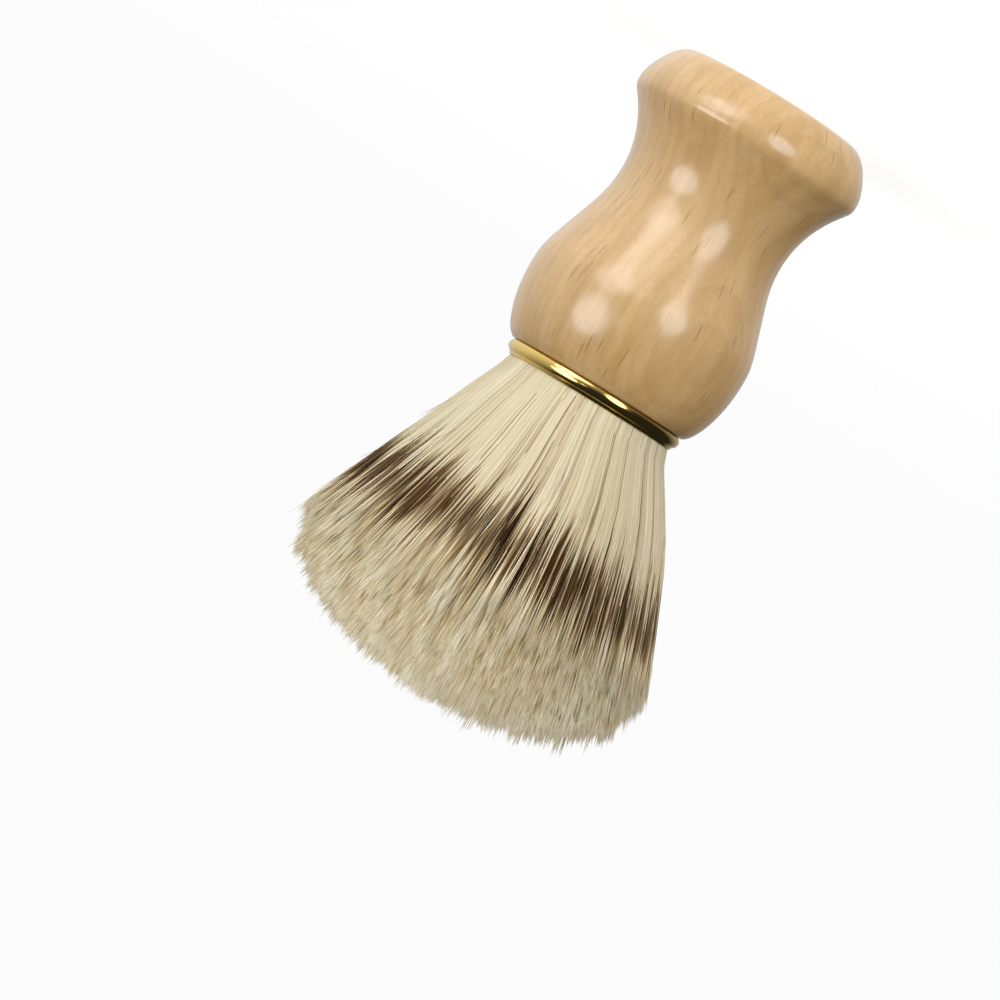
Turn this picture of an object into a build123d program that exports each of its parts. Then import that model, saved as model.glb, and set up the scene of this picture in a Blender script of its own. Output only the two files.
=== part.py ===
"""Shaving brush: a turned beech handle, a gilt ferrule and a banded bristle knot.

Millimetres, +Z up.  The brush stands on its flat base with the bristles up,
and the origin is the centre of that base.
"""
from build123d import *
import os

os.makedirs("parts", exist_ok=True)

# ---- driving dimensions ------------------------------------------------------
# Handle, from the base up.  Radii are measured from the brush's axis.
FOOT_RADIUS = 14.6          # edge of the flat that the brush stands on
RIDGE_RADIUS = 18.75        # widest turn of the foot flange
RIDGE_HEIGHT = 7.2
WAIST_RADIUS = 13.93        # narrowest turn, where a brush stand holds it
WAIST_HEIGHT = 20.3
BULB_RADIUS = 18.13         # widest turn of the grip
BULB_HEIGHT = 38.2
MOUTH_RADIUS = 14.7         # wood under the ferrule
MOUTH_HEIGHT = 49.7

# Blind socket that the knot is glued into.
SOCKET_RADIUS = 13.2
SOCKET_DEPTH = 14.2
SOCKET_CHAMFER = 0.3

# Ferrule: one thin turned collar with a bead, a lip and a skirt.
SKIRT_WALL = 0.4
SKIRT_LENGTH = 6.0
BEAD_RADIUS = 14.65
BEAD_HEIGHT = 1.95
BEAD_BULGE = 0.80           # how far the bead swells past its own foot
LIP_RADIUS = 14.05          # a little past the bead's foot, so a crease parts them
LIP_HEIGHT = 0.45
LIP_TAPER = 0.25            # how far the lip narrows towards the bristles
LIP_BORE = 13.4
LIP_ROUND = 0.12

# Knot: potted roots, a thread whipping and the flared bristles.
GLUE_BED = 0.6              # adhesive under the plug
GLUE_FILM = 0.3             # adhesive round the plug
PLUG_FLOOR = 1.5
PLUG_WALL = 0.7
THREAD_DIAMETER = 0.5
THREAD_TURNS = 8
THREAD_PITCH = 0.46
THREAD_GAP = 0.4            # bare roots between the plug and the first turn
ROOT_CLEARANCE = 0.1        # between the bristles and the ferrule's bore
SHOULDER_RADIUS = 28.8      # widest spread of the bristles
SHOULDER_LOFT = 34.5        # its height above the ferrule
DOME_HEIGHT = 15.0          # from the shoulder to the crown of tips
QUARTER_ELLIPSE = 0.5523    # handle length of the cubic curve that follows a quarter

# ---- levels worked out from them ---------------------------------------------
socket_floor = MOUTH_HEIGHT - SOCKET_DEPTH
skirt_end = MOUTH_HEIGHT - SKIRT_LENGTH
skirt_bore = SOCKET_RADIUS - SKIRT_WALL
bead_top = MOUTH_HEIGHT + BEAD_HEIGHT
ferrule_top = bead_top + LIP_HEIGHT
plug_radius = SOCKET_RADIUS - GLUE_FILM
plug_bottom = socket_floor + GLUE_BED
root_radius = plug_radius - PLUG_WALL
root_bottom = plug_bottom + PLUG_FLOOR
thread_radius = THREAD_DIAMETER / 2
binding_bottom = skirt_end + THREAD_GAP
binding_height = (THREAD_TURNS - 1) * THREAD_PITCH + THREAD_DIAMETER
binding_top = binding_bottom + binding_height
shoulder_height = ferrule_top + SHOULDER_LOFT
crown_height = shoulder_height + DOME_HEIGHT

# ---- handle ------------------------------------------------------------------
# One turning: rounded foot, soft ridge, long cove to the waist, round bulb.
# The profile's points are (radius, height), in order up the handle.
foot = (FOOT_RADIUS, 0)
foot_corner = (17.1, 2.4)
foot_side = (18.35, 4.9)
ridge = (RIDGE_RADIUS, RIDGE_HEIGHT)
ridge_end = (RIDGE_RADIUS - 0.95, RIDGE_HEIGHT + 2.1)
cove = (15.2, 13.8)
waist = (WAIST_RADIUS, WAIST_HEIGHT)
grip_start = (15.5, 28.0)
grip_side = (17.4, 33.6)
bulb = (BULB_RADIUS, BULB_HEIGHT)
bulb_side = (17.55, 44.0)
bulb_turn = (16.35, 47.6)
mouth = (MOUTH_RADIUS, MOUTH_HEIGHT)
straight_up = (0, 1)
into_cove = (-0.60, 0.80)

with BuildPart() as handle:
    with BuildSketch(Plane.XZ):
        with BuildLine():
            Line((0, 0), foot)
            Spline(foot, foot_corner, foot_side, ridge,
                   tangents=[(1, 0.45), straight_up])
            Spline(ridge, ridge_end, tangents=[straight_up, into_cove])
            Spline(ridge_end, cove, waist, tangents=[into_cove, straight_up])
            Spline(waist, grip_start, grip_side, bulb,
                   tangents=[straight_up, straight_up])
            Spline(bulb, bulb_side, bulb_turn, mouth,
                   tangents=[straight_up, (-1, 0.6)])
            Polyline(mouth, (0, MOUTH_HEIGHT), (0, 0))
        make_face()
    revolve(axis=Axis.Z)
    with BuildSketch(Plane.XY.offset(MOUTH_HEIGHT)):
        Circle(SOCKET_RADIUS)
    extrude(amount=-SOCKET_DEPTH, mode=Mode.SUBTRACT)
    mouth_edges = handle.edges().filter_by(GeomType.CIRCLE).group_by(Axis.Z)[-1]
    chamfer(mouth_edges.sort_by(SortBy.RADIUS)[0], SOCKET_CHAMFER)
handle.part.label = "handle"
export_step(handle.part, "parts/handle.step")

# ---- ferrule -----------------------------------------------------------------
# The half-round bead sits on the wood; the lip narrows towards the bristles.
bead_edge = BEAD_RADIUS - BEAD_BULGE
bead_middle = MOUTH_HEIGHT + BEAD_HEIGHT / 2
with BuildPart() as ferrule:
    with BuildSketch(Plane.XZ):
        with BuildLine():
            ThreePointArc((bead_edge, MOUTH_HEIGHT), (BEAD_RADIUS, bead_middle),
                          (bead_edge, bead_top))
            Polyline((bead_edge, bead_top), (LIP_RADIUS, bead_top),
                     (LIP_RADIUS - LIP_TAPER, ferrule_top), (LIP_BORE, ferrule_top),
                     (skirt_bore, MOUTH_HEIGHT), (skirt_bore, skirt_end),
                     (SOCKET_RADIUS, skirt_end), (SOCKET_RADIUS, MOUTH_HEIGHT),
                     (bead_edge, MOUTH_HEIGHT))
        make_face()
    revolve(axis=Axis.Z)
    lip_edges = ferrule.edges().filter_by(GeomType.CIRCLE).group_by(Axis.Z)[-1]
    fillet(lip_edges, LIP_ROUND)
ferrule.part.label = "ferrule"
export_step(ferrule.part, "parts/ferrule.step")

# ---- knot adhesive -----------------------------------------------------------
# The bed and the film that fill the socket round the plug, below the skirt.
with BuildPart() as knot_adhesive:
    with BuildSketch(Plane.XY.offset(socket_floor)):
        Circle(SOCKET_RADIUS)
    extrude(amount=skirt_end - socket_floor)
    with BuildSketch(Plane.XY.offset(plug_bottom)):
        Circle(plug_radius)
    extrude(amount=skirt_end - plug_bottom, mode=Mode.SUBTRACT)
knot_adhesive.part.label = "knot_adhesive"
export_step(knot_adhesive.part, "parts/knot_adhesive.step")

# ---- knot plug ---------------------------------------------------------------
# Cast resin puck that holds the roots.
with BuildPart() as knot_plug:
    with BuildSketch(Plane.XY.offset(plug_bottom)):
        Circle(plug_radius)
    extrude(amount=skirt_end - plug_bottom)
    with BuildSketch(Plane.XY.offset(root_bottom)):
        Circle(root_radius)
    extrude(amount=skirt_end - root_bottom, mode=Mode.SUBTRACT)
knot_plug.part.label = "knot_plug"
export_step(knot_plug.part, "parts/knot_plug.step")

# ---- root binding ------------------------------------------------------------
# Thread whipped round the roots: close turns, each lying against the next.
with BuildPart() as root_binding:
    with BuildSketch(Plane.XZ):
        for turn in range(THREAD_TURNS):
            turn_height = binding_bottom + thread_radius + turn * THREAD_PITCH
            with Locations((root_radius + thread_radius, turn_height)):
                Circle(thread_radius)
    revolve(axis=Axis.Z)
root_binding.part.label = "root_binding"
export_step(root_binding.part, "parts/root_binding.step")

# ---- bristles ----------------------------------------------------------------
# The whole bundle as one closed form: straight roots, flare and domed tips.
flare_start = (skirt_bore - ROOT_CLEARANCE, MOUTH_HEIGHT)
flare_mouth = (LIP_BORE - ROOT_CLEARANCE, ferrule_top)
flare_low = (18.7, ferrule_top + 10.0)
flare_middle = (23.3, ferrule_top + 20.0)
flare_high = (27.1, ferrule_top + 29.5)
shoulder = (SHOULDER_RADIUS, shoulder_height)
dome_side = (SHOULDER_RADIUS, shoulder_height + QUARTER_ELLIPSE * DOME_HEIGHT)
dome_top = (QUARTER_ELLIPSE * SHOULDER_RADIUS, crown_height)
crown = (0, crown_height)
with BuildPart() as bristles:
    with BuildSketch(Plane.XZ):
        with BuildLine():
            Polyline((0, root_bottom), (root_radius, root_bottom),
                     (root_radius, binding_top), flare_start, flare_mouth)
            Spline(flare_mouth, flare_low, flare_middle, flare_high, shoulder)
            Bezier(shoulder, dome_side, dome_top, crown)
            Line(crown, (0, root_bottom))
        make_face()
    revolve(axis=Axis.Z)
bristles.part.label = "bristles"
export_step(bristles.part, "parts/bristles.step")
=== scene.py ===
"""Shaving brush: its looks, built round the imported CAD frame.

Metres, +Z up, the brush standing on its base with the bristles up.  The bristles
are worked out in millimetres, as lofts above the ferrule and shares of the radius.
"""
import bpy
import math
import numpy as np
from mathutils import Matrix, Vector


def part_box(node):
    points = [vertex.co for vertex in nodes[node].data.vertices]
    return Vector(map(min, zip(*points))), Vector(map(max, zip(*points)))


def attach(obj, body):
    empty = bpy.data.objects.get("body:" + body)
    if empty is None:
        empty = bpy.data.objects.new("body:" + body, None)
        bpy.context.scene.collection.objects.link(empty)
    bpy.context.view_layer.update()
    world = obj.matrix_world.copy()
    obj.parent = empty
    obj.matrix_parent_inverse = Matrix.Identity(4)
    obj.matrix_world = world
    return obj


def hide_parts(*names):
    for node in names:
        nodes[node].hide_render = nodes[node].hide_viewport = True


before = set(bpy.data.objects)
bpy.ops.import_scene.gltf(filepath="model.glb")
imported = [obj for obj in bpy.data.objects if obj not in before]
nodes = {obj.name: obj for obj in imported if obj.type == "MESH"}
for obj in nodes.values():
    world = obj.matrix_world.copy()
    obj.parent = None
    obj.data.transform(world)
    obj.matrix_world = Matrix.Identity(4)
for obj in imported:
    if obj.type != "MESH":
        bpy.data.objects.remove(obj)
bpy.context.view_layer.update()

MM = 0.001
ferrule_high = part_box("ferrule")[1]
bristle_low, bristle_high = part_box("bristles")

# The bundle of bristles, in millimetres
BEAD_TO_BRISTLES = 1.35                 # from the bead's widest turn in to the bristles
BORE = ferrule_high.x / MM - BEAD_TO_BRISTLES
FERRULE_TOP = ferrule_high.z / MM
ROOT_HEIGHT = bristle_low.z / MM
SHOULDER_RADIUS = bristle_high.x / MM
SHOULDER_LOFT = 34.5
DOME_HEIGHT = bristle_high.z / MM - FERRULE_TOP - SHOULDER_LOFT


# ---- node materials ----------------------------------------------------------

def new_material(name):
    material = bpy.data.materials.new(name)
    material.use_nodes = True
    return material, material.node_tree, material.node_tree.nodes["Principled BSDF"]


def node(tree, kind, inputs=None, **settings):
    """A shader node, its inputs set from values or linked from other nodes' sockets."""
    made = tree.nodes.new("ShaderNode" + kind)
    for setting, value in settings.items():
        setattr(made, setting, value)
    for key, value in (inputs or {}).items():
        if isinstance(value, bpy.types.NodeSocket):
            tree.links.new(value, made.inputs[key])
        else:
            made.inputs[key].default_value = value
    return made


def math_node(tree, operation, first, second=0.0):
    return node(tree, "Math", {0: first, 1: second}, operation=operation).outputs[0]


def plus(tree, first, second):
    return math_node(tree, "ADD", first, second)


def minus(tree, first, second):
    return math_node(tree, "SUBTRACT", first, second)


def times(tree, first, second):
    return math_node(tree, "MULTIPLY", first, second)


def ease(tree, value, start, end):
    """0 below start, 1 above end, smooth between."""
    made = node(tree, "MapRange", {"Value": value, "From Min": start, "From Max": end},
                interpolation_type="SMOOTHSTEP")
    return made.outputs[0]


def spread(tree, value, low, high):
    """A value of 0 to 1 spread over low to high."""
    made = node(tree, "MapRange", {"Value": value, "To Min": low, "To Max": high})
    return made.outputs[0]


def mix(tree, factor, first, second, blend="MIX"):
    """Two colours mixed: sockets 6 and 7 are the Mix node's pair of colours."""
    made = node(tree, "Mix", {0: factor, 6: first, 7: second},
                data_type="RGBA", blend_type=blend)
    return made.outputs[2]


def ramp(tree, value, *stops):
    """A blend through (position, colour) stops."""
    made = node(tree, "ValToRGB", {"Fac": value})
    elements = made.color_ramp.elements
    while len(elements) < len(stops):
        elements.new(0.5)
    for element, (position, shade) in zip(elements, stops):
        element.position = position
        element.color = shade
    return made.outputs["Color"]


def colour(red, green, blue):
    """A displayed colour of 0 to 255 as linear RGBA."""
    def linear(value):
        share = value / 255
        return share / 12.92 if share <= 0.04045 else ((share + 0.055) / 1.055) ** 2.4
    return (linear(red), linear(green), linear(blue), 1.0)


def object_place(tree):
    return node(tree, "TexCoord").outputs["Object"]


def stretched(tree, across, along):
    """Object coordinates in cells of the given size in metres, across and along the handle."""
    scale = (1 / across, 1 / across, 1 / along)
    return node(tree, "Mapping", {"Vector": object_place(tree), "Scale": scale}).outputs[0]


def noise(tree, vector, scale=1.0, detail=2.0, roughness=0.5):
    made = node(tree, "TexNoise", {"Vector": vector, "Scale": scale, "Detail": detail,
                                   "Roughness": roughness})
    return made.outputs["Fac"]


def late_wood(tree, across, deep, up):
    """Where the dark side of a growth ring lies: shells round a pith outside the handle."""
    pith_across, pith_deep = 0.034, 0.050     # from the handle's axis to the pith
    pith_lean = 0.10
    ring_width = 0.0019
    waviness = 0.010
    wave_width, wave_length = 0.030, 0.060
    leaning = plus(tree, plus(tree, across, pith_across), times(tree, up, pith_lean))
    behind = plus(tree, deep, pith_deep)
    squares = plus(tree, times(tree, leaning, leaning), times(tree, behind, behind))
    from_pith = math_node(tree, "SQRT", squares)
    wander = noise(tree, stretched(tree, wave_width, wave_length))
    wavy = plus(tree, from_pith, times(tree, wander, waviness))
    ring = math_node(tree, "FRACT", times(tree, wavy, 1 / ring_width))
    darkening = ease(tree, ring, 0.35, 0.90)
    return times(tree, darkening, minus(tree, 1.0, ease(tree, ring, 0.90, 1.0)))


def ray_flecks(tree, across, deep, up):
    """Short dark dashes: thin round the handle and a few millimetres long and deep."""
    fleck_width, fleck_depth, fleck_length = 0.0008, 0.009, 0.012
    usual_radius = 0.016                    # where a fleck has that width
    group_width, group_length = 0.004, 0.012
    turn = math_node(tree, "ARCTAN2", deep, across)
    flat = node(tree, "CombineXYZ", {0: across, 1: deep}).outputs[0]
    reach = node(tree, "VectorMath", {0: flat}, operation="LENGTH").outputs["Value"]
    sheets = node(tree, "CombineXYZ", {0: times(tree, turn, usual_radius / fleck_width),
                                       1: times(tree, reach, 1 / fleck_depth),
                                       2: times(tree, up, 1 / fleck_length)}).outputs[0]
    dashes = node(tree, "TexVoronoi", {"Vector": sheets, "Scale": 1.0}).outputs["Distance"]
    fleck = minus(tree, 1.0, ease(tree, dashes, 0.09, 0.18))
    groups = noise(tree, stretched(tree, group_width, group_length), detail=1.0)
    return times(tree, fleck, ease(tree, groups, 0.38, 0.48))


def beech():
    """Lacquered beech: faint growth rings, long fibres and short dark ray flecks."""
    fibre_width, fibre_length = 0.00035, 0.014
    cloud_width, cloud_length = 0.004, 0.050
    fibre_strength, ring_strength, fleck_strength = 0.22, 0.13, 0.55
    material, tree, shader = new_material("beech")
    axes = node(tree, "SeparateXYZ", {0: object_place(tree)}).outputs
    fibres = noise(tree, stretched(tree, fibre_width, fibre_length), detail=3.0, roughness=0.65)
    clouds = noise(tree, stretched(tree, cloud_width, cloud_length))
    flecks = ray_flecks(tree, axes[0], axes[1], axes[2])
    rings = late_wood(tree, axes[0], axes[1], axes[2])
    plain = mix(tree, ease(tree, clouds, 0.35, 0.65), colour(202, 162, 104), colour(214, 176, 120))
    toned = mix(tree, times(tree, ease(tree, fibres, 0.42, 0.62), fibre_strength),
                plain, colour(182, 140, 84))
    ringed = mix(tree, times(tree, rings, ring_strength), toned, colour(162, 118, 68))
    flecked = mix(tree, times(tree, flecks, fleck_strength), ringed, colour(140, 96, 54))
    tree.links.new(flecked, shader.inputs["Base Color"])
    tree.links.new(spread(tree, fibres, 0.44, 0.56), shader.inputs["Roughness"])
    relief = minus(tree, fibres, times(tree, flecks, 0.6))
    bump = node(tree, "Bump", {"Strength": 0.12, "Distance": 0.00006, "Height": relief})
    tree.links.new(bump.outputs[0], shader.inputs["Normal"])
    shader.inputs["Specular IOR Level"].default_value = 0.3
    shader.inputs["Coat Weight"].default_value = 1.0
    shader.inputs["Coat Roughness"].default_value = 0.19
    shader.inputs["Coat IOR"].default_value = 1.7
    return material


def eased_bend(tree, share):
    """The surface's own direction, turned by a share towards straight out from the axis."""
    flat = node(tree, "VectorMath", {0: object_place(tree), 1: (1, 1, 0)},
                operation="MULTIPLY").outputs[0]
    outwards = node(tree, "VectorMath", {0: flat}, operation="NORMALIZE").outputs[0]
    own = node(tree, "NewGeometry").outputs["Normal"]
    # sockets 4 and 5 are the Mix node's pair of vectors
    eased = node(tree, "Mix", {0: share, 4: own, 5: outwards}, data_type="VECTOR").outputs[1]
    return node(tree, "VectorMath", {0: eased}, operation="NORMALIZE").outputs[0]


def gilt():
    """Polished gold plate with faint turning lines and a slightly uneven polish."""
    line_width, line_run = 0.00008, 0.02
    clouds_per_metre = 260.0
    material, tree, shader = new_material("gilt")
    cloud = noise(tree, object_place(tree), scale=clouds_per_metre, detail=3.0)
    tint = mix(tree, cloud, colour(226, 190, 100), colour(242, 214, 136))
    tree.links.new(tint, shader.inputs["Base Color"])
    lines = noise(tree, stretched(tree, line_run, line_width))
    tree.links.new(spread(tree, lines, 0.11, 0.16), shader.inputs["Roughness"])
    # a worn, hand-polished bead carries taller highlights than its true bend would
    bump = node(tree, "Bump", {"Strength": 0.04, "Distance": 0.00002, "Height": lines,
                               "Normal": eased_bend(tree, 0.45)})
    tree.links.new(bump.outputs[0], shader.inputs["Normal"])
    shader.inputs["Metallic"].default_value = 1.0
    return material


def hidden(name, dark, light, grain, roughness):
    """A mottled material for the pieces inside the socket."""
    material, tree, shader = new_material(name)
    cloud = noise(tree, object_place(tree), scale=1 / grain, detail=4.0)
    tree.links.new(mix(tree, cloud, dark, light), shader.inputs["Base Color"])
    bump = node(tree, "Bump", {"Strength": 0.3, "Distance": grain * 0.1, "Height": cloud})
    tree.links.new(bump.outputs[0], shader.inputs["Normal"])
    shader.inputs["Roughness"].default_value = roughness
    return material


def band(tree, carried):
    """How dark the band is at a point of a strand, from 0 to 1."""
    rise, fall = 4.0, 4.5                    # lofts over which the band comes and goes
    loft = carried("loft")
    rising = ease(tree, minus(tree, loft, carried("band_start")), 0.0, rise)
    falling = ease(tree, minus(tree, loft, carried("band_end")), -fall, 0.0)
    inside = times(tree, rising, minus(tree, 1.0, falling))
    return times(tree, inside, carried("band_strength"))


def bristle():
    """Cream fibre with a ragged dark band; each strand carries its own shade and band."""
    material, tree, shader = new_material("bristle")

    def carried(name):
        return node(tree, "Attribute", attribute_name=name).outputs["Fac"]

    shade = carried("shade")
    root = ramp(tree, shade, (0.0, colour(158, 134, 92)), (0.3, colour(211, 196, 158)),
                (1.0, colour(240, 230, 202)))
    tip = ramp(tree, shade, (0.0, colour(184, 152, 98)), (0.3, colour(217, 196, 148)),
               (1.0, colour(248, 240, 213)))
    brown = ramp(tree, shade, (0.0, colour(40, 23, 8)), (0.45, colour(68, 43, 17)),
                 (1.0, colour(116, 83, 42)))
    pale = mix(tree, ease(tree, carried("loft"), 20.0, 32.0), root, tip)
    dark = band(tree, carried)
    banded = mix(tree, dark, pale, brown)
    # the band's two ragged edges are warmer than the fibre on either side
    fringe = times(tree, times(tree, dark, minus(tree, 1.0, dark)), 2.4)
    fringed = mix(tree, fringe, banded, colour(242, 218, 178), blend="MULTIPLY")
    tree.links.new(fringed, shader.inputs["Base Color"])
    shader.inputs["Roughness"].default_value = 0.50
    shader.inputs["Specular IOR Level"].default_value = 0.06
    return material


# ---- the bundle's form --------------------------------------------------------

TINY = 1e-6                             # keeps a length from being 0 where it divides


def smooth(value):
    """0 below 0, 1 above 1, smooth between."""
    value = np.clip(value, 0.0, 1.0)
    return value * value * (3 - 2 * value)


def lofted_radius(loft):
    """The bundle's outer radius at a loft: nearly straight in the ferrule, then flaring."""
    slope_inside, slope = 0.25, 0.395
    delay, delay_loft = 1.8, 3              # the flare starts gently
    swell, swell_loft = 2.9, 8              # and opens fastest low down
    above = np.maximum(loft, 0.0)
    eased = above - delay * (1 - np.exp(-above / delay_loft))
    flared = BORE + slope * eased + swell * (1 - np.exp(-eased / swell_loft))
    return np.where(loft < 0, BORE + slope_inside * loft, flared)


def leaned(loft):
    """How far the bundle leans sideways at a loft."""
    lean, full_at = 1.3, 16
    return -lean * smooth(loft / full_at)


def outward(points):
    """The bundle's own outward direction at points in millimetres."""
    side_rise = -0.42                       # the flare faces a little down
    dome_start, dome_ease = 27, 11          # lofts over which the dome's direction takes over
    middle_rise, rim_loss = 3.1, 1.8        # the dome faces up, less so at its rim
    loft = points[:, 2] - FERRULE_TOP
    reach = np.hypot(points[:, 0], points[:, 1]) + TINY
    dome_rise = middle_rise - rim_loss * reach / SHOULDER_RADIUS
    rise = side_rise + smooth((loft - dome_start) / dome_ease) * dome_rise
    facing = np.stack([points[:, 0] / reach, points[:, 1] / reach, rise], axis=1)
    return facing / np.linalg.norm(facing, axis=1, keepdims=True)


def dome_loft(places):
    """The loft at which a strand at each place of the disc meets the dome of tips."""
    below, above, trials = 4, 1, 120
    trial = np.linspace(SHOULDER_LOFT - below, SHOULDER_LOFT + DOME_HEIGHT + above, trials)
    reach = np.hypot(places[:, 0], places[:, 1])[:, None] * lofted_radius(trial)[None, :]
    rise = np.maximum(trial - SHOULDER_LOFT, 0.0)[None, :]
    outside = (reach / SHOULDER_RADIUS) ** 2 + (rise / DOME_HEIGHT) ** 2 > 1
    return trial[outside.argmax(axis=1)]


# ---- strands: where they grow and what they carry ------------------------------
# Places are points of the unit disc, which the bundle's radius scales at each loft.
# Shares run along a strand, from 0 at its root to 1 at its tip.

# A ring's strands take root between its inner and outer edge, at the start loft.
# Each is drawn towards its clump's middle by some share of the way, between the two pulls.
OUTER_RING = {
    "count": 12000, "inner": 0.84, "outer": 1.0, "crowd": True, "start": -2.0,
    "shares": np.array([0, 0.12, 0.25, 0.38, 0.50, 0.62, 0.74, 0.85, 0.94, 1.0]),
    "clump_size": 18, "pulls": (0.40, 0.80), "thickness": 0.105,
}
INNER_RING = {
    "count": 20000, "inner": 0.0, "outer": 0.88, "crowd": False, "start": 24.0,
    "shares": np.array([0, 0.25, 0.5, 0.74, 0.9, 1.0]),
    "clump_size": 9, "pulls": (0.20, 0.50), "thickness": 0.135,
}
STRAYS = 90
STRAY_THICKNESS = 0.06
LOTS = 4                                # meshes that a ring's strands are shared out to
LOCKS = 150                             # tones round the bundle
PATCH_TURNS = (-130, -112, -88, -53, -20, 12, 48, 75, 120, 155)     # degrees round the bundle
PATCH_SPREAD = 0.19                     # radians
BAND_START = 18.4                       # lofts between which the dark band lies
BAND_END = 30.4
SHORT_SHARE = 0.04                      # strands that end below the dome
SEAM_SHARE = 0.05                       # strands in the darkest shade from root to tip
PALE_SHARE = 0.16                       # strands that hardly have the band


def disc_points(rng, count, inner, outer, crowd):
    """Points over a ring of the unit disc, spread evenly or crowded at its outer edge."""
    if crowd:
        reach = outer - (outer - inner) * rng.random(count) ** 2
    else:
        reach = np.sqrt(rng.uniform(inner ** 2, outer ** 2, count))
    turn = rng.uniform(0, 2 * math.pi, count)
    return np.stack([reach * np.cos(turn), reach * np.sin(turn)], axis=1)


def nearest(points, centres):
    gaps = ((points[:, None, :] - centres[None, :, :]) ** 2).sum(axis=2)
    return gaps.argmin(axis=1)


def patches(turn):
    """How strong the dark band is at a turn round the bundle, from 0 to 1."""
    strength = np.zeros_like(turn)
    for centre in PATCH_TURNS:
        gap = np.angle(np.exp(1j * (turn - math.radians(centre))))
        strength += np.exp(-(gap / PATCH_SPREAD) ** 2)
    return np.clip(strength, 0.0, 1.0)


def lock(tones, turn):
    """The tone at a turn round the bundle, easing between evenly spaced ones."""
    place = turn / (2 * math.pi) % 1 * len(tones)
    before = place.astype(int) % len(tones)
    after = (before + 1) % len(tones)
    share = smooth(place % 1)
    return tones[before] * (1 - share) + tones[after] * share


def gather(rng, rooted, centres, home, pulls):
    """Where each strand ends up on the disc: drawn towards the middle of its clump."""
    uneven = 0.005
    pull = rng.uniform(*pulls, len(centres))[home]
    gathered = rooted + (centres[home] - rooted) * pull[:, None]
    gathered += rng.normal(0, uneven, gathered.shape)
    return gathered


def tip_lofts(rng, gathered, tone, home):
    """Lofts of the tips: at the dome, a little uneven, and a few well short of it."""
    tone_reach, clump_uneven, strand_uneven = 0.5, 0.6, 0.35
    count = len(home)
    clump_reach = tone_reach * tone + rng.normal(0, clump_uneven, len(tone))
    tip = dome_loft(gathered) + clump_reach[home] + rng.normal(0, strand_uneven, count)
    short = rng.random(count) < SHORT_SHARE
    tip -= short * rng.uniform(2, 9, count)
    return tip


def strand_paths(rng, rooted, gathered, loft, shares):
    """Points along each strand, which joins its clump on the way up and bends at the tip."""
    join_start, join_length = 6, 30
    bend_size, sway_size = 0.26, 0.08
    count = len(rooted)
    joined = smooth((loft - join_start) / join_length)[:, :, None]
    place = rooted[:, None, :] + (gathered - rooted)[:, None, :] * joined
    flat = place * lofted_radius(loft)[:, :, None]
    bend = rng.normal(0, bend_size, (count, 1, 2)) * (shares ** 3)[None, :, None]
    sway = rng.normal(0, sway_size, (count, 1, 2)) * np.sin(math.pi * shares)[None, :, None]
    flat = flat + bend + sway
    path = np.empty((count, len(shares), 3))
    path[:, :, 0] = flat[:, :, 0] + leaned(loft)
    path[:, :, 1] = flat[:, :, 1]
    path[:, :, 2] = loft + FERRULE_TOP
    return path


def strand_widths(rng, count, shares, thickness):
    """Radii along each strand: even up to the last stretch, then tapering."""
    taper, taper_start = 0.7, 0.86
    width = thickness * rng.uniform(0.8, 1.15, (count, 1))
    return width * (1 - taper * smooth((shares - taper_start) / (1 - taper_start)))[None, :]


def strand_values(rng, loft, tone, patch, home):
    """What the material reads: each clump's band and shade, varied strand by strand."""
    count, clumps = len(home), len(tone)
    # in a patch the band is wider and darker
    clump_start = BAND_START - 0.8 * patch + rng.normal(0, 0.8, clumps)
    clump_end = BAND_END + 1.2 * patch + rng.normal(0, 1.0, clumps)
    clump_dark = np.clip(0.90 + 0.10 * patch + rng.normal(0, 0.08, clumps), 0.1, 1.0)
    clump_shade = 0.63 + 0.12 * tone + rng.normal(0, 0.07, clumps)
    pale = rng.random(count) < PALE_SHARE
    shade = np.clip(clump_shade[home] + rng.normal(0, 0.14, count), 0.2, 1.0)
    seam = rng.random(count) < SEAM_SHARE
    return {
        "loft": loft,
        "shade": np.where(seam, rng.uniform(0.0, 0.12, count), shade),
        "band_start": clump_start[home] + rng.normal(0, 2.1, count),
        "band_end": clump_end[home] + rng.normal(0, 1.8, count),
        "band_strength": clump_dark[home] * np.where(pale, rng.uniform(0, 0.3, count), 1.0),
    }


def grow(rng, tones, count, inner, outer, crowd, start, shares, clump_size, pulls, thickness):
    """Paths, radii and colour values of the strands in one ring of the bundle."""
    rooted = disc_points(rng, count, inner, outer, crowd)
    centres = disc_points(rng, count // clump_size, inner, outer, crowd)
    home = nearest(rooted, centres)
    gathered = gather(rng, rooted, centres, home, pulls)
    turn = np.arctan2(centres[:, 1], centres[:, 0])
    tone = lock(tones, turn)
    tip = tip_lofts(rng, gathered, tone, home)
    loft = start + (tip - start)[:, None] * shares[None, :]
    path = strand_paths(rng, rooted, gathered, loft, shares)
    width = strand_widths(rng, count, shares, thickness)
    return path, width, strand_values(rng, loft, tone, patches(turn), home)


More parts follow.
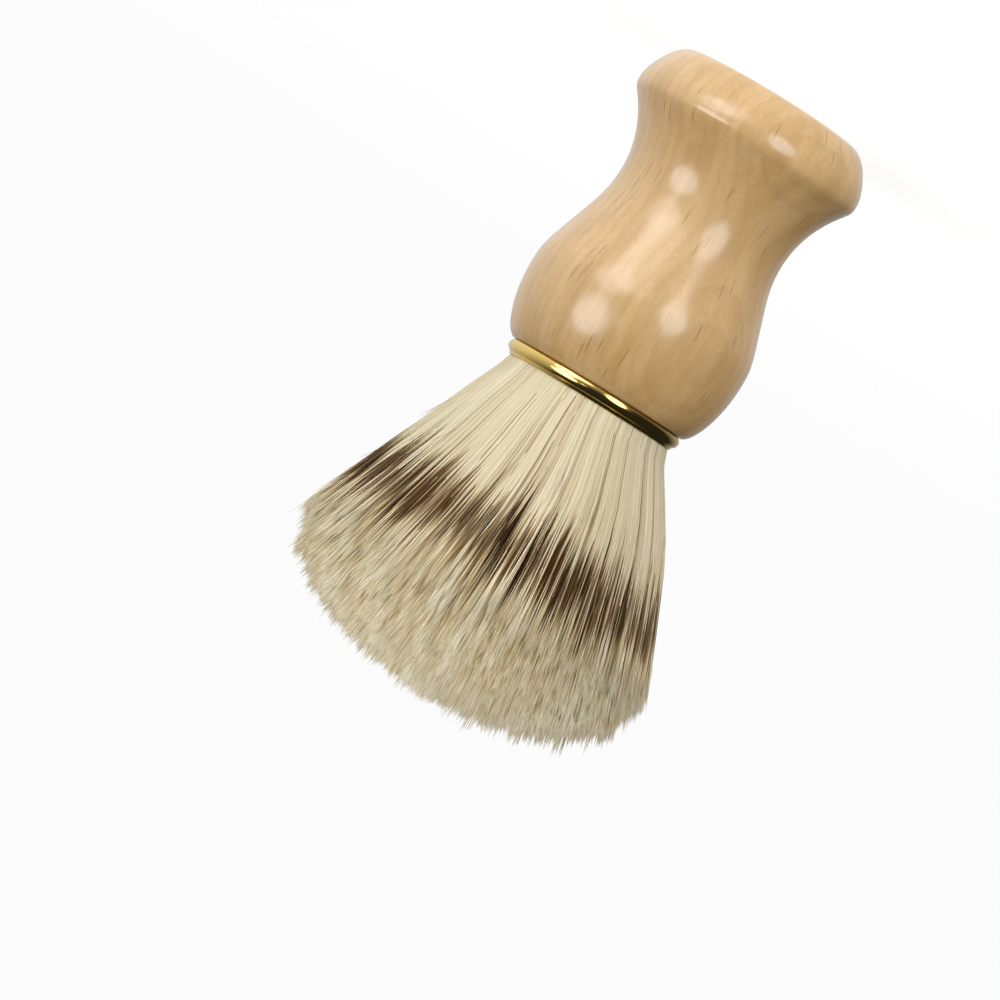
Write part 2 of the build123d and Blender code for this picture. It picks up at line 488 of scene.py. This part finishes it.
def stray(rng, count, thickness):
    """A few loose hairs that leave the bundle's side and bow away from it."""
    inset, taper = 0.15, 0.7
    turn = rng.uniform(0, 2 * math.pi, count)
    start = rng.uniform(2, 28, count)
    length = rng.uniform(5, 12, count)
    shares = np.linspace(0, 1, 7)
    bowing = shares[None, :] ** 2
    loft = start[:, None] + length[:, None] * shares[None, :]
    reach = lofted_radius(loft) - inset + rng.uniform(0.5, 1.5, (count, 1)) * bowing
    swing = turn[:, None] + rng.normal(0, 0.03, (count, 1)) * bowing
    path = np.stack([reach * np.cos(swing) + leaned(loft), reach * np.sin(swing),
                     loft + FERRULE_TOP], axis=2)
    width = thickness * (1 - taper * shares)[None, :] * np.ones((count, 1))
    values = {
        "loft": loft,
        "shade": rng.uniform(0.1, 0.8, count),
        "band_start": rng.uniform(8, 20, count),
        "band_end": rng.uniform(28, 33, count),
        "band_strength": rng.uniform(0.3, 0.9, count),
    }
    return path, width, values


# ---- strands: their meshes -----------------------------------------------------
# A strand is a closed three-sided solid: a triangle at every level but the last,
# where it ends in a point.

SIDES = 3
SOFTNESS = 0.45                         # share of the bundle's form in a strand's shading


def add_object(name, data):
    made = bpy.data.objects.new(name, data)
    bpy.context.scene.collection.objects.link(made)
    return made


def store_value(mesh, label, value):
    store = mesh.attributes.new(label, "FLOAT", "POINT")
    store.data.foreach_set("value", np.asarray(value, np.float32).ravel())


def every_point(levels):
    """Levels repeated for a strand's points: once for each side, and once at the tip."""
    return np.concatenate([np.repeat(levels[:, :-1], SIDES, axis=1), levels[:, -1:]], axis=1)


def strand_points(path, width):
    """The points of each strand, level by level, and its tip last."""
    along = np.gradient(path, axis=1)
    along /= np.linalg.norm(along, axis=2, keepdims=True)
    side = np.cross(along, (0.0, 0.0, 1.0)) + (TINY, 0, 0)
    side /= np.linalg.norm(side, axis=2, keepdims=True)
    other = np.cross(along, side)
    angles = np.arange(SIDES) * 2 * math.pi / SIDES
    round_it = (np.cos(angles)[:, None] * side[:, :-1, None, :]
                + np.sin(angles)[:, None] * other[:, :-1, None, :])
    ring = path[:, :-1, None, :] + width[:, :-1, None, None] * round_it
    return np.concatenate([ring.reshape(len(path), -1, 3), path[:, -1:, :]], axis=1)


def strand_faces(count, rings):
    """Faces of all strands: their sides, then their pointed ends, then their root caps."""
    each = (rings - 1) * SIDES + 1
    first = (np.arange(count) * each)[:, None, None]
    level = (np.arange(rings - 2) * SIDES)[None, :, None]
    corner = np.arange(SIDES)[None, None, :]
    after = (corner + 1) % SIDES
    quads = np.stack([first + level + corner, first + level + after,
                      first + level + SIDES + after, first + level + SIDES + corner], axis=3)
    last = (rings - 2) * SIDES
    tips = np.stack([first + last + corner, first + last + after,
                     np.broadcast_to(first + each - 1, (count, 1, SIDES))], axis=3)
    roots = np.stack([first + 2, first + 1, first + 0], axis=3)
    faces = quads.reshape(-1, 4).tolist() + tips.reshape(-1, 3).tolist()
    return faces + roots.reshape(-1, 3).tolist()


def soften(mesh, own, bundle):
    """Shade the strands partly by the bundle's form, as packed fibre scatters light."""
    own = own / np.maximum(np.linalg.norm(own, axis=1, keepdims=True), TINY)
    blended = own * (1 - SOFTNESS) + bundle * SOFTNESS
    blended /= np.linalg.norm(blended, axis=1, keepdims=True)
    mesh.normals_split_custom_set_from_vertices(blended.tolist())


def unwrap_strands(mesh, count, rings):
    """Each strand gets its own narrow cell of the map, root at the bottom."""
    cell_shape = 18                         # how many times taller than wide a cell is
    across_gap, up_gap = 0.06, 0.03         # empty edges, as shares of a cell
    columns = math.ceil(math.sqrt(count * cell_shape))
    rows = math.ceil(count / columns)
    left = (np.arange(count) % columns / columns)[:, None, None, None]
    low = (np.arange(count) // columns / rows)[:, None, None, None]
    level = np.arange(rings - 2)[None, :, None, None]
    corner = np.arange(SIDES)[None, None, :, None]

    def cells(across, up):
        inside_across = across_gap + (1 - 2 * across_gap) * across / SIDES
        inside_up = up_gap + (1 - 2 * up_gap) * up / (rings - 1)
        places = np.broadcast_arrays(left + inside_across / columns, low + inside_up / rows)
        return np.stack(places, axis=-1).reshape(-1, 2)

    step = np.array([0, 1, 1, 0])
    rise = np.array([0, 0, 1, 1])
    quads = cells(corner + step, level + rise)
    tips = cells(corner + np.array([0, 1, 0.5]), rings - 2 + np.array([0, 0, 1]))
    # the root cap is a flat triangle at the foot of the cell
    roots = cells(np.array([0.0, 1.0, 2.0]), np.array([0.0, 0.2, 0.0]))
    layer = mesh.uv_layers.new(name="OFBake")
    layer.data.foreach_set("uv", np.concatenate([quads, tips, roots]).astype(np.float32).ravel())


def strand_piece(name, path, width, values, material):
    """One mesh of closed strands, with the values that their material reads."""
    count, rings, _ = path.shape
    points = strand_points(path, width).reshape(-1, 3)
    middle = every_point(path).reshape(-1, 3)
    faces = strand_faces(count, rings)
    mesh = bpy.data.meshes.new(name)
    mesh.from_pydata((points * MM).tolist(), [], faces)
    mesh.polygons.foreach_set("use_smooth", np.ones(len(faces), bool))
    soften(mesh, points - middle, outward(middle))
    for label, value in values.items():
        if value.ndim == 1:
            value = np.broadcast_to(value[:, None], (count, rings))
        store_value(mesh, label, every_point(value))
    unwrap_strands(mesh, count, rings)
    mesh.materials.append(material)
    return add_object(name, mesh)


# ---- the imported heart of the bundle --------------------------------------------

CORE_SIDES = 240
# The core's values give it low shades and spread the brown band over its dome: painted shade, the
# dark depth seen between the strands.
CORE_PAINTED_SHADE_VALUES = (("shade", 0.1, 0.7), ("band_start", 15.5, 20.0), ("band_end", 70.0, 71.0),
               ("band_strength", 0.7, 1.0))     # each with its lowest and highest value


def core_profile():
    """(radius, height) up the core: potted roots, the ferrule, the flare and a low dome."""
    root_inset, root_depth = 1.1, 4.5       # the straight roots, up to this far below the top
    neck_inset, neck_depth = 0.75, 2.4      # a point between them and the flare
    inset, waning = 0.35, 0.0028            # how far inside the bundle, more so higher up
    dome_drop = 5.5                         # from the dome of tips down to the core's own
    root_radius = BORE - root_inset
    profile = [(0.0, ROOT_HEIGHT), (root_radius, ROOT_HEIGHT),
               (root_radius, FERRULE_TOP - root_depth),
               (BORE - neck_inset, FERRULE_TOP - neck_depth)]
    for loft in np.linspace(0, SHOULDER_LOFT - 1.0, 24):
        profile.append((lofted_radius(loft) - inset - waning * loft ** 2, FERRULE_TOP + loft))
    edge_radius, edge_height = profile[-1]
    steps = 12
    for step in range(1, steps + 1):
        turn = step / steps * math.pi / 2
        profile.append((edge_radius * math.cos(turn),
                        edge_height + (DOME_HEIGHT - dome_drop) * math.sin(turn)))
    return profile


def core_points(profile, ridge):
    """The profile turned round the leaning axis, with a faint ridge for every bunch of fibre."""
    ridge_size, ridge_loft = 0.012, 12
    points = []
    for radius, height in profile:
        loft = height - FERRULE_TOP
        for side in range(CORE_SIDES):
            angle = side / CORE_SIDES * 2 * math.pi
            swell = 1 + ridge_size * ridge[side] * smooth(loft / ridge_loft)
            points.append(((radius * swell * math.cos(angle) + leaned(loft)) * MM,
                           radius * swell * math.sin(angle) * MM, height * MM))
    return points


def core_faces(levels):
    faces = []
    for level in range(levels - 1):
        low, high = level * CORE_SIDES, (level + 1) * CORE_SIDES
        for side in range(CORE_SIDES):
            after = (side + 1) % CORE_SIDES
            faces.append((low + side, low + after, high + after, high + side))
    return faces


def core_piece(name, material):
    """The closed core, from the potted roots to under the tips, in painted shade; its poles are
    welded shut.
    """
    # the core's dome keeps most of the band's brown, as painted shade between the tips
    dome_loss, dome_start, dome_ease = 0.35, 27, 6      # the band weakens towards the dome
    rng = np.random.default_rng(5)
    ridge = rng.normal(0, 1, CORE_SIDES)
    profile = core_profile()
    faces = core_faces(len(profile))
    lofts = np.repeat([height - FERRULE_TOP for _, height in profile], CORE_SIDES)
    mesh = bpy.data.meshes.new(name)
    mesh.from_pydata(core_points(profile, ridge), [], faces)
    store_value(mesh, "loft", lofts)
    for label, low, high in CORE_PAINTED_SHADE_VALUES:
        streak = np.tile(rng.uniform(low, high, CORE_SIDES), len(profile))
        if label == "band_strength":
            streak *= 1 - dome_loss * smooth((lofts - dome_start) / dome_ease)
        store_value(mesh, label, streak)
    mesh.polygons.foreach_set("use_smooth", np.ones(len(faces), bool))
    mesh.materials.append(material)
    piece = add_object(name, mesh)
    merge = piece.modifiers.new("poles", "WELD")
    merge.merge_threshold = 0.01 * MM
    return piece


def split_strands(grown, parts):
    """The same strands in several lots, so that each mesh stays light."""
    path, width, values = grown
    for lot in np.array_split(np.arange(len(path)), parts):
        yield path[lot], width[lot], {label: value[lot] for label, value in values.items()}


def make_bristles():
    rng = np.random.default_rng(11)
    material = bristle()
    # the core under the strands is painted in dark tones, as the shade deep between them
    pieces = [core_piece("bristle_core", material)]
    tones = rng.normal(0, 1, LOCKS)
    outer = grow(rng, tones, **OUTER_RING)
    inner = grow(rng, tones, **INNER_RING)
    loose = stray(rng, STRAYS, STRAY_THICKNESS)
    for number, lot in enumerate(split_strands(outer, LOTS), 1):
        pieces.append(strand_piece(f"bristles_outer_{number}", *lot, material))
    for number, lot in enumerate(split_strands(inner, LOTS), 1):
        pieces.append(strand_piece(f"bristles_inner_{number}", *lot, material))
    pieces.append(strand_piece("bristles_stray", *loose, material))
    for piece in pieces:
        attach(piece, "root")
        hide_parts("bristles")


# ---- finishes on the CAD nodes ------------------------------------------------

def finish_node(name, material):
    slots = nodes[name].data.materials
    slots.clear()
    slots.append(material)


def finish_nodes():
    finish_node("handle", beech())
    finish_node("ferrule", gilt())
    finish_node("knot_plug", hidden("cast_resin", colour(150, 118, 66), colour(196, 166, 108),
                                    grain=0.0012, roughness=0.25))
    finish_node("knot_adhesive", hidden("cured_glue", colour(196, 178, 120),
                                        colour(226, 212, 160), grain=0.0016, roughness=0.20))
    finish_node("root_binding", hidden("waxed_thread", colour(190, 176, 146),
                                       colour(226, 216, 190), grain=0.0002, roughness=0.70))


# ---- stage, light and camera --------------------------------------------------

AIM = Vector((0.0036, 0.0, 0.0714))
DISTANCE = 0.85
VIEW_WIDTH = 0.1481                     # width of the view at the brush's axis
SENSOR = 36.0
ROLL = math.radians(148.5)              # the brush lies tipped over, bristles down
GRIP = (0, 0, 0.045)                    # what most of the lights point at
TIPS = (0, 0, 0.10)
BAND = (0, 0, 0.087)
DAYLIGHT = (0.985, 1.0, 1.04)           # tint of the softboxes
WHITE = (1.0, 1.0, 1.0, 1)


def make_camera():
    data = bpy.data.cameras.new("camera")
    data.sensor_width = SENSOR
    data.lens = SENSOR * DISTANCE / VIEW_WIDTH
    data.clip_start = 0.01
    data.clip_end = 20.0
    camera = add_object("camera", data)
    level = Matrix.Rotation(math.radians(90), 4, "X")
    camera.matrix_world = (Matrix.Translation(AIM + Vector((0, -DISTANCE, 0)))
                           @ level @ Matrix.Rotation(-ROLL, 4, "Z"))
    bpy.context.scene.camera = camera


def floor_material():
    """Pale paper that fades into the pale surroundings away from the brush."""
    fade_start, fade_end = 0.25, 1.0        # metres from the brush
    material, tree, shader = new_material("pale_floor")
    shader.inputs["Base Color"].default_value = (0.12, 0.12, 0.12, 1)
    shader.inputs["Emission Color"].default_value = (1.0, 0.998, 0.995, 1)
    shader.inputs["Emission Strength"].default_value = 0.93
    shader.inputs["Roughness"].default_value = 0.75
    shader.inputs["Specular IOR Level"].default_value = 0.2
    reach = node(tree, "VectorMath", {0: object_place(tree)}, operation="LENGTH").outputs["Value"]
    fade = minus(tree, 1.0, ease(tree, reach, fade_start, fade_end))
    tree.links.new(fade, shader.inputs["Alpha"])
    return material


def make_floor():
    """A round floor that casts no shadow and shows in no reflection."""
    radius, around = 1.05, 96
    ring = [(radius * math.cos(2 * math.pi * k / around),
             radius * math.sin(2 * math.pi * k / around), 0.0) for k in range(around)]
    mesh = bpy.data.meshes.new("floor")
    mesh.from_pydata(ring, [], [list(range(around))])
    mesh.materials.append(floor_material())
    floor = add_object("floor", mesh)
    floor.visible_shadow = False
    floor.visible_glossy = False


def make_world():
    """White to the camera; softer and brighter on one side for light and for reflections."""
    world = bpy.data.worlds.new("studio")
    world.use_nodes = True
    tree = world.node_tree
    back = tree.nodes["Background"]
    back.inputs["Color"].default_value = WHITE
    back.inputs["Strength"].default_value = 0.97
    toward = node(tree, "TexCoord").outputs["Generated"]

    def graded(direction, low, high, dim, bright):
        """Light that rises from dim to bright as a ray turns towards the direction."""
        facing = node(tree, "VectorMath", {0: toward, 1: direction},
                      operation="DOT_PRODUCT").outputs["Value"]
        level = node(tree, "MapRange", {"Value": facing, "From Min": low, "From Max": high,
                                        "To Min": dim, "To Max": bright}).outputs[0]
        return node(tree, "Background", {"Color": WHITE, "Strength": level}).outputs[0]

    lit = graded((0.50, -0.20, -0.84), low=-0.9, high=0.9, dim=0.04, bright=0.50)
    mirrored = graded((0.55, 0.35, -0.75), low=-0.3, high=0.9, dim=0.02, bright=1.05)
    rays = node(tree, "LightPath").outputs
    unseen = node(tree, "MixShader", {0: rays["Is Glossy Ray"], 1: lit, 2: mirrored}).outputs[0]
    joined = node(tree, "MixShader", {0: rays["Is Camera Ray"], 1: unseen,
                                      2: back.outputs[0]}).outputs[0]
    tree.links.new(joined, tree.nodes["World Output"].inputs["Surface"])
    bpy.context.scene.world = world


def add_lamp(name, data, place, target):
    lamp = add_object(name, data)
    lamp.location = place
    toward = Vector(target) - Vector(place)
    lamp.rotation_euler = toward.to_track_quat("-Z", "Y").to_euler()
    return lamp


def softbox(name, place, size, power, target=GRIP):
    data = bpy.data.lights.new(name, "AREA")
    data.shape = "ELLIPSE"
    data.size, data.size_y = size
    data.energy = power
    data.color = DAYLIGHT
    return add_lamp(name, data, place, target)


def spotlight(name, place, angle, power, target):
    data = bpy.data.lights.new(name, "SPOT")
    data.energy = power
    data.spot_size = math.radians(angle)
    data.spot_blend = 0.8
    data.shadow_soft_size = 0.12
    return add_lamp(name, data, place, target)


def make_lights():
    """Three softboxes round the camera, a low one for gleams, and lamps for the bristles' front,
    the crown and the back."""
    softbox("key_light", place=(0.62, -0.68, 0.22), size=(0.60, 0.42), power=2.4)
    softbox("side_light", place=(0.62, -0.68, -0.34), size=(0.60, 0.62), power=2.1)
    softbox("fill_light", place=(-0.44, -0.82, -0.30), size=(0.48, 0.66), power=2.9)
    spotlight("bristle_light", place=(0.25, -0.85, 0.17), angle=6.0, power=2.4, target=BAND)
    softbox("crown_light", place=(0.0, -0.10, 0.95), size=(0.30, 0.30), power=3.6, target=TIPS)
    low = softbox("low_light", place=(0.40, -0.72, -0.50), size=(0.70, 0.55), power=1.2)
    low.visible_diffuse = False             # shows in the lacquer and the gilt alone
    back = softbox("back_light", place=(0.15, 0.95, 0.05), size=(0.60, 0.60), power=1.6)
    back.visible_glossy = False             # lights the back without a gleam at the edges


finish_nodes()
make_bristles()
make_camera()
make_floor()
make_world()
make_lights()
bpy.context.scene.view_settings.view_transform = "Standard"
